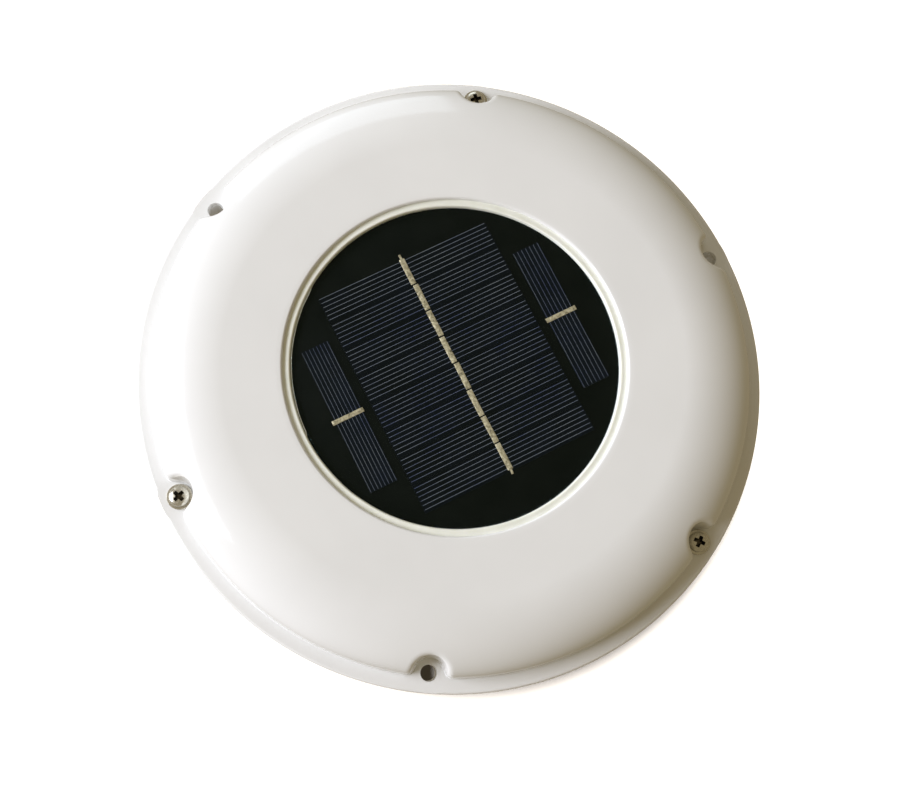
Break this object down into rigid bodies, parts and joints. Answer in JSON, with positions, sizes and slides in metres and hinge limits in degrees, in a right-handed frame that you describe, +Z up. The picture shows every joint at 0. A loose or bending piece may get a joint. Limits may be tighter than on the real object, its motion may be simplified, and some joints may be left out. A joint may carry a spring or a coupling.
{
  "type": "solar attic fan",
  "caption": "Round white low-profile roof ventilator with a solar panel in its crown, a flanged duct and a direct-drive axial fan hung beneath the dome.",
  "frame": {"origin": "centre of the duct on the roof surface, in the plane of the base flange's underside", "axes": "+Z up, away from the roof; +Y through one of the screws that hold the cover; the duct points along -Z"},
  "size_m": [0.217, 0.217, 0.0665],
  "materials": {
    "white_cover": "glossy moulded ABS",
    "white_base": "satin moulded ABS",
    "stainless": "turned and polished stainless steel",
    "zinc_steel": "bright zinc-plated steel",
    "black_laminate": "black glass-epoxy laminate",
    "silicon": "dark blue anti-reflection coat",
    "tinned_copper": "solder-tinned ribbon",
    "clear_resin": "clear poured resin",
    "silicone": "translucent white sealant",
    "black_nylon": "moulded nylon",
    "drawn_steel": "plated drawn steel",
    "ferrite": "sintered ferrite",
    "bronze": "oil-filled sintered bronze",
    "cap_plastic": "natural acetal",
    "copper": "bare copper",
    "shaft_steel": "ground steel",
    "core_steel": "laminated silicon steel",
    "enamelled_wire": "enamelled copper wire",
    "brass": "turned and knurled brass",
    "fan_plastic": "moulded polypropylene",
    "screen_mesh": "coated glass-fibre mesh",
    "red_pvc": "PVC insulation",
    "black_pvc": "PVC insulation",
    "solder": "soft solder"
  },
  "bodies": {
    "housing": {"base_ring": "white_base", "top_cover": "white_cover", "cover_screws": "stainless", "screw_washers": "stainless", "panel_board": "black_laminate", "main_cells": "silicon", "side_cells": "silicon", "cell_ribbons": "tinned_copper", "panel_resin": "clear_resin", "panel_seal": "silicone", "motor_bracket": "black_nylon", "bracket_screws": "zinc_steel", "motor_can": "drawn_steel", "motor_screws": "zinc_steel", "motor_magnets": "ferrite", "front_bush": "bronze", "rear_bush": "bronze", "motor_endcap": "cap_plastic", "brushes": "copper", "motor_terminals": "tinned_copper", "guard_grille": "black_nylon", "insect_screen": "screen_mesh", "lead_red": "red_pvc", "lead_black": "black_pvc", "solder_joints": "solder", "lead_plug": "silicone"},
    "rotor": {"fan_impeller": "fan_plastic", "hub_insert": "brass", "motor_shaft": "shaft_steel", "armature_core": "core_steel", "armature_coils": "enamelled_wire", "commutator_sleeve": "cap_plastic", "commutator_segments": "copper"}
  },
  "joints": [
    {"name": "fan_spin", "type": "hinge", "parent": "housing", "child": "rotor", "pos_m": [0, 0, 0.0068], "axis": [0, 0, 1], "continuous": true}
  ]
}
